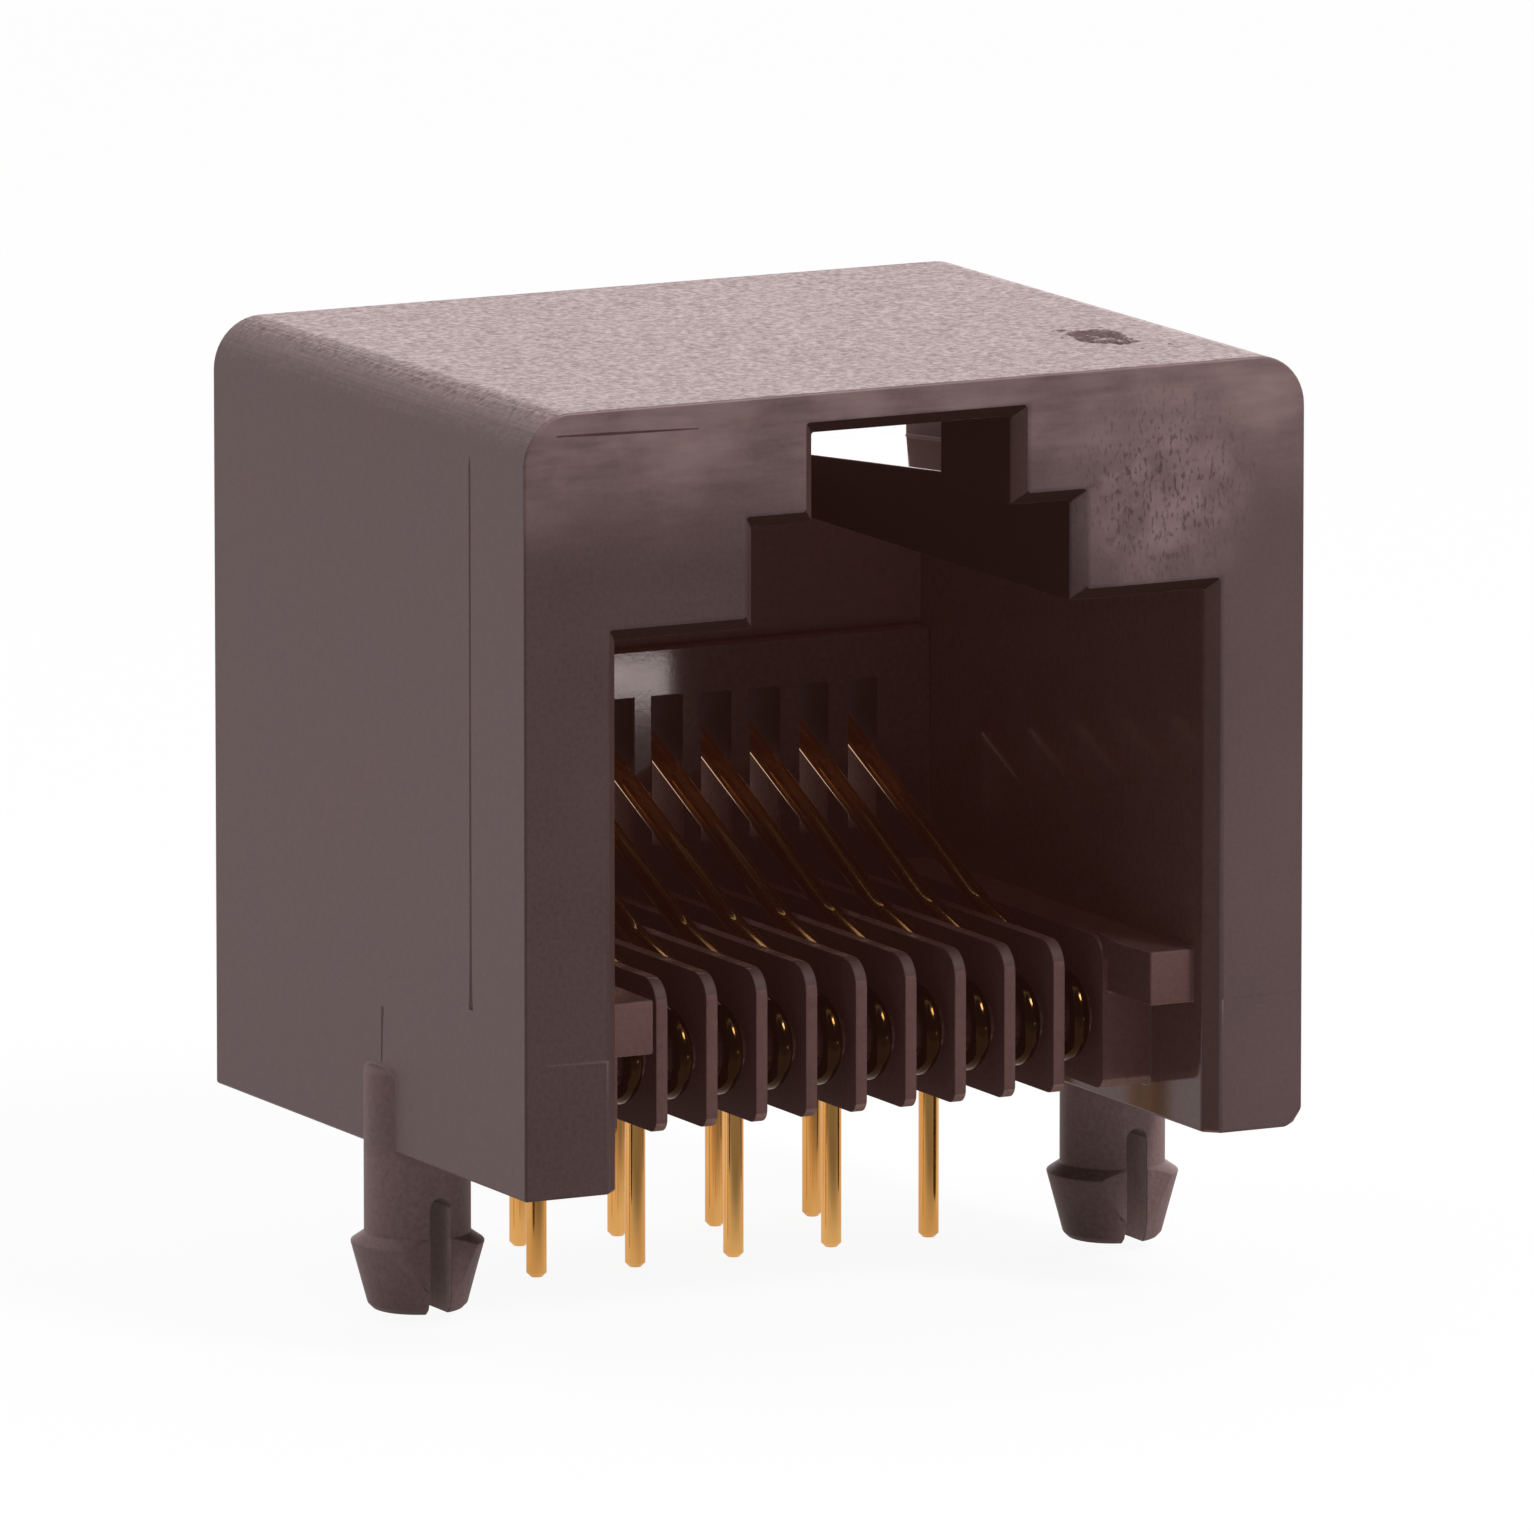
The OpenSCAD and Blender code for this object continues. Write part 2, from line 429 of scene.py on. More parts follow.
@dataclass(frozen=True)
class FlowMarks:
    """Pale flow marks near the top of the front face and the pitted patch at its right, with painted light
    that makes the front lighter towards the right.

    Places are in millimetres, waves are counted in a metre, and a span of a noise is mapped to a share.
    """

    blush: Color = (0.26, 0.2, 0.195)
    high_z: Span = (11.2, 13.8)
    cloud_waves: float = 520.0
    cloud_span: Span = (0.32, 0.7)
    cloud_share: Span = (0.2, 0.6)
    smear_waves: float = 2800.0
    smear_stretch: Point = (0.3, 1.0, 1.8)
    smear_span: Span = (0.3, 0.72)
    smear_share: Span = (0.0, 0.22)
    painted_light_x: Span = (2.0, 8.0)
    painted_light_share: Span = (0.0, 0.18)
    patch_centre: Point = (5.0, -5.94, 12.1)
    patch_reach: Span = (2.6, 0.5)
    patch_waves: float = 1600.0
    patch_span: Span = (0.3, 0.7)
    patch_share: Span = (0.3, 0.75)
    pit_color: Color = (0.04, 0.02, 0.019)
    pit_share: float = 0.6
    pit_depth: float = 2.5
    pit_waves: float = 14000.0
    pit_stretch: Point = (1.0, 1.0, 0.4)
    pit_span: Span = (0.52, 0.66)

    def patch(self, graph: Graph, place: Socket) -> Socket:
        """Adds a mask of the round pitted patch."""
        off_centre = graph.vector("DISTANCE", place, [part * MM for part in self.patch_centre])
        return graph.ramp(off_centre.outputs["Value"], *metres(self.patch_reach))

    def pale(self, graph: Graph, place: Socket, patch: Socket) -> Socket:
        """Adds the pale marks and the painted light towards the right.

        Args:
            graph: tree of the material.
            place: object coordinates.
            patch: mask of the pitted patch.

        Returns:
            The share of the pale colour.
        """
        smear = graph.noise(graph.stretch(place, self.smear_stretch), self.smear_waves, FINE_WEIGHT)
        clouds = graph.noise(place, self.cloud_waves, CLOUD_WEIGHT)
        marks = graph.math(
            "ADD", graph.ramp(clouds, *self.cloud_span, *self.cloud_share),
            graph.ramp(smear, *self.smear_span, *self.smear_share),
        )
        high = graph.ramp(graph.axis(place, "Z"), *metres(self.high_z))
        brow = graph.math("MULTIPLY", high, marks)
        veil = graph.ramp(graph.noise(place, self.patch_waves), *self.patch_span, *self.patch_share)
        spot = graph.math("MULTIPLY", patch, veil)
        # Painted light: the front gets paler towards the right
        right = graph.ramp(graph.axis(place, "X"), *metres(self.painted_light_x), *self.painted_light_share)
        return graph.math("ADD", graph.math("MAXIMUM", brow, spot), right)

    def mark(self, graph: Graph, place: Socket, colour: Socket, height: Socket) -> tuple[Socket, Socket]:
        """Adds the marks to a finish.

        Args:
            graph: tree of the material.
            place: object coordinates.
            colour: colour of the plain finish.
            height: height of the grain.

        Returns:
            The new colour and height.
        """
        patch = self.patch(graph, place)
        dots = graph.noise(graph.stretch(place, self.pit_stretch), self.pit_waves)
        pits = graph.math("MULTIPLY", patch, graph.ramp(dots, *self.pit_span))
        colour = graph.blend(self.pale(graph, place, patch), colour, opaque(self.blush))
        colour = graph.blend(graph.math("MULTIPLY", pits, self.pit_share), colour, opaque(self.pit_color))
        return colour, graph.math("MULTIPLY_ADD", pits, -self.pit_depth, height)


@dataclass(frozen=True)
class Moulding:
    """Finish of one zone of the dark moulding compound; sizes are in millimetres."""

    name: str
    roughness: float
    grain_mm: float
    grain_depth: float
    base: Color
    cloud_mm: float = 2.2
    mottle: float = 0.18
    speckle: float = 0.4
    rough_mottle: float = 0.1
    rough_speckle: float = 0.1
    specular: float = 0.5
    # Emission colour; the zones deep in the housing get the painted glare glow here
    glow: Color = BLACK
    painted_shading: PaintedShading | None = None
    flow: FlowMarks | None = None
    skin: TopSkin | None = None

    def tone(self, graph: Graph, place: Socket, cloud: Socket, speckle: Socket) -> Socket:
        """Adds the changes of tone over the surface, and the painted light or shade that changes with
        height.

        Args:
            graph: tree of the material.
            place: object coordinates.
            cloud: slow clouds about 0.
            speckle: grain about 0.

        Returns:
            The factor of the base colour.
        """
        tone = graph.math("MULTIPLY_ADD", cloud, 2 * self.mottle, 1.0)
        tone = graph.math("MULTIPLY_ADD", speckle, 2 * self.speckle, tone)
        if self.painted_shading:
            left = graph.ramp(graph.axis(place, "Z"), *metres(self.painted_shading.rise), 1.0, self.painted_shading.share)
            tone = graph.math("MULTIPLY", tone, left)
        return tone

    def build(self, grain: bpy.types.NodeTree) -> bpy.types.Material:
        """Makes the material.

        Args:
            grain: shared mould grain effect.

        Returns:
            The new material.
        """
        material, graph, place = new_material(self.name)
        texture = graph.place(grain, Vector=place, Grain=waves(self.grain_mm), Clouds=waves(self.cloud_mm))
        height, speckle, cloud = (texture.outputs[name] for name in ("Height", "Speckle", "Cloud"))
        colour = graph.shade(self.base, self.tone(graph, place, cloud, speckle))
        rough = graph.math("MULTIPLY_ADD", cloud, self.rough_mottle, self.roughness)
        rough = graph.math("MULTIPLY_ADD", speckle, self.rough_speckle, rough)
        if self.skin:
            height = self.skin.relief(graph, place, height)
        if self.flow:
            colour, height = self.flow.mark(graph, place, colour, height)
        bump = graph.add("ShaderNodeBump", Height=height, Strength=1.0, Distance=self.grain_depth * MM)
        shader = graph.add(
            "ShaderNodeBsdfPrincipled", Base_Color=colour, Roughness=rough, Normal=bump.outputs[0],
            Emission_Color=opaque(self.glow), Emission_Strength=1.0, Specular_IOR_Level=self.specular,
        )
        if self.skin:
            self.skin.gloss(graph, place, speckle, shader)
        graph.add("ShaderNodeOutputMaterial", Surface=shader.outputs[0])
        return material


@dataclass(frozen=True)
class GoldWire:
    """Bright gold plating on drawn wire; inside the jack its colour is darkened as painted shade, most on
    the front loops, and lightened near the top of the rising wires as painted light, with a painted glare
    glow; sizes and places are in millimetres.
    """

    name: str = "contact_gold"
    base: Color = (0.93, 0.57, 0.18)
    deep: Color = (0.74, 0.39, 0.1)
    deep_span: Span = (-0.12, 0.3)
    cloud_mm: float = 0.6
    draw_mm: float = 0.05
    draw_depth: float = 0.0006
    draw_stretch: Point = (1.0, 0.12, 0.12)
    roughness: float = 0.1
    rough_cloud: float = 0.12
    dull_rough: float = 0.03
    loop_painted_shade: float = 0.06
    inner_painted_shade: float = 0.4
    crest_painted_light: float = 1.05
    bright_y: Span = (-2.4, -1.2)
    inside_z: Span = (0.1, 0.4)
    crest_z: Span = (4.4, 5.4)
    glare_glow_share: float = 0.7

    def build(self, grain: bpy.types.NodeTree) -> bpy.types.Material:
        """Makes the material.

        Args:
            grain: shared grain effect, drawn out along the wire.

        Returns:
            The new material.
        """
        material, graph, place = new_material(self.name)
        drawn = graph.stretch(place, self.draw_stretch)
        lines = graph.place(grain, Vector=drawn, Grain=waves(self.draw_mm), Clouds=waves(self.cloud_mm))
        cloud = lines.outputs["Cloud"]
        gold = graph.blend(graph.ramp(cloud, *self.deep_span), opaque(self.base), opaque(self.deep))
        rise = graph.axis(place, "Z")
        bright = graph.ramp(graph.axis(place, "Y"), *metres(self.bright_y))
        inside = graph.ramp(rise, *metres(self.inside_z))
        upper = graph.ramp(rise, *metres(self.crest_z), self.inner_painted_shade, self.crest_painted_light)
        # Painted shade darkens the gold above the board, most on the front loops; painted light brightens
        # it near the top of the rising wires
        tone = graph.pick(inside, 1.0, graph.pick(bright, self.loop_painted_shade, upper))
        plain = graph.pick(bright, self.roughness + self.dull_rough, self.roughness)
        rough = graph.math("MULTIPLY_ADD", cloud, self.rough_cloud, plain)
        bump = graph.add(
            "ShaderNodeBump", Height=lines.outputs["Height"], Strength=1.0, Distance=self.draw_depth * MM
        )
        # The wires above the board get the painted glare glow
        shader = graph.add(
            "ShaderNodeBsdfPrincipled", Base_Color=graph.shade(gold, tone), Metallic=1.0, Roughness=rough,
            Normal=bump.outputs[0], Emission_Color=graph.blend(inside, opaque(BLACK), opaque(PAINTED_GLARE)),
            Emission_Strength=self.glare_glow_share,
        )
        graph.add("ShaderNodeOutputMaterial", Surface=shader.outputs[0])
        return material


@dataclass
class Seam:
    """One witness line that two faces of the mould left, as points and half widths in millimetres.

    A line on the front face runs to the right and has a finish of its own: painted highlight on the column
    lines, painted shade in the groove of the brow line.
    """

    points: list[Point]
    widths: list[float]
    finish: Zone | None = None
    reach: float = 0.1
    sink: float = 0.003

    def holds(self, place: Vector) -> bool:
        """Tells whether a face of the front lies in this line.

        Args:
            place: centre of the face in millimetres.

        Returns:
            True for a face of the line's groove.
        """
        left, right = self.points[0], self.points[-1]
        near = left[0] < place.x < right[0] and abs(place.z - left[2]) < self.reach
        return near and place.y > left[1] + self.sink


@dataclass
class WitnessLines:
    """Lines that the slides of the mould left, cut by wavering wedges; sizes are in millimetres."""

    side_x: float = -7.95
    front_y: float = -5.94
    slide_y: float = -3.74
    wedge_sides: int = 4
    steps: int = 60
    waver: float = 0.35
    waver_waves: float = 2500.0
    waver_detail: float = 2.0
    seed: float = 3.0
    seams: list[Seam] = field(init=False)

    def __post_init__(self) -> None:
        """Lays the lines on the left side and on the front face."""
        x, y = self.side_x, self.front_y
        slide = [(x, self.slide_y, z) for z in (13.27, 13.1, 10.0, 6.0, 4.0, 3.35, 3.16)]
        brow = [(-7.3, y, 13.92), (-6.4, y, 13.9), (-5.4, y, 13.88), (-4.45, y, 13.86)]
        left_column = [(-7.5, y, 2.47), (-6.9, y, 2.46), (-6.25, y, 2.45)]
        right_column = [(6.28, y, 2.5), (7.0, y, 2.51), (7.9, y, 2.52)]
        self.seams = [
            Seam(slide, [0.02, 0.04, 0.035, 0.04, 0.045, 0.07, 0.09]),
            Seam([(x, -0.13, 2.62), (x, -0.1, 2.1), (x, -0.09, 1.6)], [0.045, 0.035, 0.03]),
            Seam([(x, -3.6, 3.2), (x, -2.0, 3.2), (x, -0.4, 3.21)], [0.012, 0.016, 0.01]),
            # Painted highlight on the column lines and painted shade in the brow line's groove, through
            # their finishes
            Seam(left_column, [0.012, 0.02, 0.024], Zone.SCAR),
            Seam(brow, [0.014, 0.026, 0.022, 0.01], Zone.LEAD),
            Seam(right_column, [0.026, 0.02, 0.014], Zone.SCAR),
        ]

    def front_zone(self, place: Vector) -> Zone:
        """Gives the zone of a face of the front: that of the line that holds it, or the plain front."""
        return next((seam.finish for seam in self.seams if seam.finish and seam.holds(place)), Zone.FRONT)

    def tree(self) -> bpy.types.NodeTree:
        """Builds the Geometry Nodes tree that sweeps a wavering wedge along the lines.

        Returns:
            The node tree, with the inputs Profile Sides, Waver, Seed and Finish.
        """
        inputs = {
            "Geometry": "NodeSocketGeometry", "Profile Sides": "NodeSocketInt", "Waver": "NodeSocketFloat",
            "Seed": "NodeSocketFloat", "Finish": "NodeSocketMaterial",
        }
        outputs = {"Geometry": "NodeSocketGeometry"}
        graph, given = new_group("seam_wedge", "GeometryNodeTree", inputs, outputs)
        line = graph.add("GeometryNodeMeshToCurve", Mesh=given.outputs["Geometry"])
        fine = graph.add("GeometryNodeResampleCurve", Curve=line.outputs[0], Count=self.steps)
        width = graph.add("GeometryNodeInputNamedAttribute", Name="width")
        swing = graph.add("ShaderNodeTexNoise", Scale=self.waver_waves, Detail=self.waver_detail)
        swing.noise_dimensions = "4D"
        graph.put(swing.inputs["W"], given.outputs["Seed"])
        share = graph.math("MULTIPLY_ADD", graph.centred(swing.outputs[0]), given.outputs["Waver"], 1.0)
        profile = graph.add(
            "GeometryNodeCurvePrimitiveCircle", Resolution=given.outputs["Profile Sides"], Radius=1.0
        )
        swept = graph.add(
            "GeometryNodeCurveToMesh", Curve=fine.outputs[0], Profile_Curve=profile.outputs[0],
            Scale=graph.math("MULTIPLY", width.outputs[0], share), Fill_Caps=True,
        )
        solid = graph.add("GeometryNodeRealizeInstances", Geometry=swept.outputs[0])
        dressed = graph.add(
            "GeometryNodeSetMaterial", Geometry=solid.outputs[0], Material=given.outputs["Finish"]
        )
        graph.add("NodeGroupOutput", Geometry=dressed.outputs[0])
        return graph.tree

    def tool(self, finish: bpy.types.Material) -> bpy.types.Mesh:
        """Sweeps the wedges along the lines.

        Args:
            finish: material of the wedges.

        Returns:
            One mesh with a closed wedge for each line.
        """
        mesh = bpy.data.meshes.new("seam_lines")
        points = []
        edges = []
        for seam in self.seams:
            start = len(points)
            points += [Vector(point) * MM for point in seam.points]
            edges += [(i, i + 1) for i in range(start, len(points) - 1)]
        mesh.from_pydata(points, edges, [])
        width = mesh.attributes.new("width", "FLOAT", "POINT")
        width.data.foreach_set("value", [half * MM for seam in self.seams for half in seam.widths])
        carrier = bpy.data.objects.new("seam_lines", mesh)
        bpy.context.scene.collection.objects.link(carrier)
        modifier = carrier.modifiers.new("wedge", "NODES")
        modifier.node_group = self.tree()
        values = {
            "Profile Sides": self.wedge_sides, "Waver": self.waver, "Seed": self.seed, "Finish": finish,
        }
        for socket in modifier.node_group.interface.items_tree:
            if socket.in_out == "INPUT" and socket.name in values:
                modifier[socket.identifier] = values[socket.name]
        result = plain_mesh(carrier)
        bpy.data.objects.remove(carrier)
        return result


@dataclass(frozen=True)
class Fracture:
    """Noise of a broken surface, with its waves in a millimetre along X and Y."""

    waves: Span
    layer: float
    smoothness: float
    octaves: int
    lacunarity: float = 2.2

    def at(self, x: float, y: float) -> float:
        """Gives the noise, about 0, at a place in millimetres."""
        spot = Vector((x * self.waves[0], y * self.waves[1], self.layer))
        return noise.fractal(spot, self.smoothness, self.lacunarity, self.octaves)


@dataclass
class GateScar:
    """Rough pit in the top where the gate of the mould broke off; sizes are in millimetres.

    The reach of the tool and of the scar's faces is a share of the half sizes. The values of the edge, the
    pit, the rim and the floor are shares of the depth or of the way from the centre to the edge.
    """

    centre: Span = (5.5, -2.7)
    half: Span = (0.54, 0.92)
    depth: float = 0.1
    top_z: float = 14.33
    step: float = 0.035
    tool_reach: float = 1.6
    tool_rise: float = 0.3
    face_reach: float = 1.7
    face_drop: Span = (0.024, 0.4)
    torn: Fracture = Fracture((2.2, 1.6), 4.0, 0.7, 2)
    grit: Fracture = Fracture((6.0, 4.0), 9.0, 0.6, 3)
    edge_torn: float = 0.16
    edge_grit: float = 0.08
    pit_edge: float = 1.05
    pit_slope: float = 0.3
    pit_share: float = 0.4
    rim_at: float = 0.66
    rim_width: float = 0.26
    rim_spread: float = 0.15
    rim_share: float = 0.6
    rim_grit: float = 0.4
    rim_tilt: float = 0.2
    floor_grit: float = 0.55
    floor_lift: float = 0.3

    def holds(self, place: Vector) -> bool:
        """Tells whether a face lies in the scar, from its centre in millimetres."""
        near = all(abs(place[i] - self.centre[i]) < self.face_reach * self.half[i] for i in range(2))
        return near and self.face_drop[0] < self.top_z - place.z < self.face_drop[1]

    def cut(self, x: float, y: float) -> float:
        """Gives the depth of the scar.

        Args:
            x: place across the top.
            y: place along the top.

        Returns:
            Depth below the top face; negative outside the scar.
        """
        u = (x - self.centre[0]) / self.half[0]
        v = (y - self.centre[1]) / self.half[1]
        grit = self.grit.at(x, y)
        reach = math.hypot(u, v) + self.edge_torn * self.torn.at(x, y) + self.edge_grit * grit
        pit = min(1.0, max(0.0, (self.pit_edge - reach) / self.pit_slope))
        rim_width = self.rim_width + self.rim_spread * max(0.0, v)
        rim = math.exp(-(((reach - self.rim_at) / rim_width) ** 2))
        rim_depth = rim * (self.rim_share + self.rim_grit * grit + self.rim_tilt * v)
        return self.depth * (self.pit_share * pit + rim_depth + self.floor_grit * grit - self.floor_lift)

    def tool(self) -> bpy.types.Mesh:
        """Makes the closed tool whose lower side is the floor of the scar.

        Returns:
            The mesh of the tool.
        """
        span = [self.tool_reach * half for half in self.half]
        counts = [max(2, round(2 * s / self.step)) for s in span]
        tool = bmesh.new()
        rows = []
        for j in range(counts[1] + 1):
            y = self.centre[1] - span[1] + 2 * span[1] * j / counts[1]
            row = []
            for i in range(counts[0] + 1):
                x = self.centre[0] - span[0] + 2 * span[0] * i / counts[0]
                row.append(tool.verts.new(Vector((x, y, self.top_z - self.cut(x, y))) * MM))
            rows.append(row)
        for low, high in zip(rows, rows[1:]):
            for a, b, c, d in zip(low, low[1:], high[1:], high):
                tool.faces.new((a, d, c, b))
        lid = bmesh.ops.extrude_face_region(tool, geom=tool.faces[:])["geom"]
        for vert in (v for v in lid if isinstance(v, bmesh.types.BMVert)):
            vert.co.z = (self.top_z + self.tool_rise) * MM
        bmesh.ops.recalc_face_normals(tool, faces=tool.faces)
        mesh = bpy.data.meshes.new("gate_scar")
        tool.to_mesh(mesh)
        tool.free()
        return mesh


@dataclass(frozen=True)
class ZoneLimits:
    """Places that part the zones of the housing, in millimetres.

    Bands and depths count from the front, the rear or the top of the housing, halves from its middle plane.
    """

    board_z: float = -0.02
    foot_z: float = 0.01
    wall_x: float = 7.9
    boss_x: float = 7.96
    peg_x: float = 7.19
    slit_reach: float = 0.5
    slit_z: float = -0.3
    front_band: float = 0.06
    rear_band: float = 0.04
    top_band: float = 1.0
    comb_z: float = 3.5
    comb_y: float = -4.0
    comb_half: float = 5.2
    fin_half: float = 5.3
    channel_z: float = 1.2
    rear_slot_depth: float = 1.85
    rear_slot_z: float = 7.0
    rear_wall_z: float = 7.8
    shoulder_z: float = 7.75
    shoulder_half: float = 3.6
    pocket_z: float = 10.3
    pocket_y: float = 0.0
    step_z: Span = (9.5, 11.9)
    lead_depth: float = 2.7


@dataclass
class Housing:
    """Moulded housing, with the small edge radii and mould marks that the real one has.

    Sizes are in millimetres and angles in degrees.
    """

    node: str = "housing"
    lines: WitnessLines = field(default_factory=WitnessLines)
    scar: GateScar = field(default_factory=GateScar)
    limits: ZoneLimits = ZoneLimits()
    edge_r: float = 0.05
    core_edge_r: float = 0.028
    comb_edge_r: float = 0.02
    edge_segments: int = 3
    weld: float = 2e-5
    flat_angle: float = 0.3
    sharp_angle: float = 28.0
    shade_angle: float = 40.0
    # All zones are one dark compound; their base colours differ as painted light and shade: darker on the
    # front, the lead-ins and inside the opening, lighter on the pegs, the slits, the slot bottoms and the
    # top
    finishes: dict[Zone, Moulding] = field(default_factory=lambda: {
        Zone.SIDE: Moulding("moulding_side", 0.4, 0.09, 0.002, (0.108, 0.067, 0.068)),
        Zone.FRONT: Moulding(
            "moulding_front", 0.42, 0.09, 0.003, (0.077, 0.0486, 0.0475), flow=FlowMarks()
        ),
        # Painted light: the base colour gets 1.3 times lighter up the rounded edges onto the level top
        Zone.TOP: Moulding(
            "moulding_top", 0.36, 0.12, 0.006, (0.108, 0.075, 0.075), speckle=0.5, rough_speckle=0.0,
            specular=0.04, painted_shading=PaintedShading((13.3, 14.2), 1.3), skin=TopSkin(),
        ),
        Zone.CORE: Moulding(
            "moulding_core", 0.08, 0.12, 0.0003, (0.062, 0.043, 0.04), rough_speckle=0.0, glow=PAINTED_GLARE
        ),
        Zone.SLOT: Moulding("moulding_slot", 0.65, 0.09, 0.002, (0.098, 0.054, 0.049), glow=PAINTED_GLARE),
        # Painted light: the pegs, in the housing's shade, get a much lighter base than the rest of the
        # compound, a little less above the board
        Zone.PEG: Moulding(
            "moulding_peg_painted_light", 0.5, 0.09, 0.002, (0.19, 0.137, 0.131), specular=0.3,
            painted_shading=PaintedShading((-0.3, 0.1), 0.85),
        ),
        # Painted light: the walls of the peg slits get a pale base for the light that comes through the
        # slits
        Zone.SLIT: Moulding("moulding_slit_painted_light", 0.6, 0.09, 0.002, (0.42, 0.34, 0.32)),
        # Painted light and shade: a lighter base low in the rear slots, where light comes through, and
        # almost black above 5.9 mm, which also darkens the shoulder walls and the lead-ins that face down
        Zone.WELL: Moulding(
            "moulding_well_painted_light_and_shade", 0.8, 0.09, 0.002, (0.2, 0.138, 0.115), specular=0.08, glow=PAINTED_GLARE,
            painted_shading=PaintedShading((5.2, 5.9), 0.08),
        ),
        Zone.LEAD: Moulding("moulding_lead", 0.65, 0.09, 0.002, (0.051, 0.031, 0.028), glow=PAINTED_GLARE),
        Zone.FIN: Moulding(
            "moulding_fin", 0.7, 0.09, 0.002, (0.062, 0.041, 0.037), specular=0.1, glow=PAINTED_GLARE
        ),
        # The column lines on the front borrow this lighter finish as painted highlight
        Zone.SCAR: Moulding("moulding_scar", 0.6, 0.09, 0.004, (0.125, 0.09, 0.087), specular=0.28),
    })
    low: Vector = field(init=False)
    high: Vector = field(init=False)

    def __post_init__(self) -> None:
        """Reads the corners of the housing's box from its CAD mesh."""
        self.low, self.high = (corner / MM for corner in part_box(self.node))

    def radius(self, edge: bmesh.types.BMEdge) -> float:
        """Picks the radius of an edge.

        Args:
            edge: edge of the plain copy.

        Returns:
            Radius in millimetres, or 0 for an edge that stays as it is.
        """
        if not edge.is_manifold or edge.calc_face_angle(0.0) < math.radians(self.sharp_angle):
            return 0.0
        middle = (edge.verts[0].co + edge.verts[1].co) / (2 * MM)
        at = self.limits
        in_comb = middle.z < at.comb_z and abs(middle.x) < at.comb_half and middle.y > at.comb_y
        if in_comb or middle.z < at.board_z:
            return self.comb_edge_r
        outside = any(self.zone(face) is not Zone.CORE for face in edge.link_faces)
        return self.edge_r if outside else self.core_edge_r

    def zone(self, face: bmesh.types.BMFace) -> Zone:
        """Tells which face of the mould made a face.

        Args:
            face: face of the housing.

        Returns:
            The zone of its finish.
        """
        middle = face.calc_center_median() / MM
        normal = face.normal
        at = self.limits
        by_slit = middle.z < at.slit_z and abs(abs(middle.x) - at.peg_x) < at.slit_reach
        if by_slit and abs(normal.x) > Facing.EXACT:
            return Zone.SLIT
        if middle.z < at.board_z or abs(middle.x) > at.boss_x:
            return Zone.PEG
        if middle.y < self.low.y + at.front_band and normal.y < -Facing.LEANING:
            return self.lines.front_zone(middle)
        if middle.z < at.foot_z or (abs(middle.x) > at.wall_x and normal.z < Facing.LEANING):
            return Zone.SIDE
        if self.scar.holds(middle):
            return Zone.SCAR
        if normal.z > Facing.BARELY and middle.z > self.high.z - at.top_band:
            return Zone.TOP
        if middle.y > self.high.y - at.rear_band and normal.y > Facing.PARTLY:
            return Zone.SIDE
        wall = self.wall_zone(middle, normal) if abs(normal.x) > Facing.MOSTLY else None
        return wall or self.inner_zone(middle, normal)

    def wall_zone(self, middle: Vector, normal: Vector) -> Zone | None:
        """Tells which part of the mould's core made an upright wall inside the housing.

        Args:
            middle: centre of the face in millimetres.
            normal: direction of the face, mostly to one side.

        Returns:
            The zone of its finish, or None for a wall that is like the faces round it.
        """
        at = self.limits
        if middle.y > self.high.y - at.rear_slot_depth and middle.z < at.rear_slot_z:
            return Zone.WELL
        if middle.z < at.comb_z and abs(middle.x) < at.fin_half:
            return Zone.FIN
        # Walls of the shoulders take the well finish, which paints them almost black as painted shade
        if abs(normal.y) < Facing.LEANING and middle.z > at.shoulder_z and abs(middle.x) < at.shoulder_half:
            return Zone.WELL
        if middle.z > at.pocket_z and middle.y > at.pocket_y:
            return Zone.SLOT
        if normal.y < -Facing.LEANING and at.step_z[0] < middle.z < at.step_z[1]:
            return Zone.FRONT
        return None

    def inner_zone(self, middle: Vector, normal: Vector) -> Zone:
        """Tells which part of the mould's core made a face of the plug opening.

        Args:
            middle: centre of the face in millimetres.
            normal: direction of the face.

        Returns:
            The zone of its finish.
        """
        at = self.limits
        to_front = normal.y < -Facing.PARTLY
        if to_front and middle.y < self.low.y + at.lead_depth:
            if normal.y < -Facing.SQUARE:
                return Zone.SLOT
            # Lead-ins that face down take the well finish, which paints them almost black as painted shade
            return Zone.WELL if normal.z < -Facing.LEANING else Zone.LEAD
        if to_front and middle.z > at.rear_wall_z:
            return Zone.SLOT
        if normal.z < -Facing.LEANING and middle.z < at.channel_z:
            return Zone.SLOT
        return Zone.CORE

    def rounded(self) -> bpy.types.Mesh:
        """Copies the CAD mesh, merges it and marks how far each edge is rounded.

        Returns:
            The new mesh, with bevel weights.
        """
        copy = bmesh.new()
        copy.from_mesh(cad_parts[self.node].data)
        bmesh.ops.remove_doubles(copy, verts=copy.verts, dist=self.weld * MM)
        flat = math.radians(self.flat_angle)
        bmesh.ops.dissolve_limit(copy, angle_limit=flat, verts=copy.verts, edges=copy.edges, delimit=set())
        copy.normal_update()
        weight = copy.edges.layers.float.new("bevel_weight_edge")
        for edge in copy.edges:
            edge[weight] = self.radius(edge) / self.edge_r
        mesh = bpy.data.meshes.new("housing_shell")
        copy.to_mesh(mesh)
        copy.free()
        return mesh

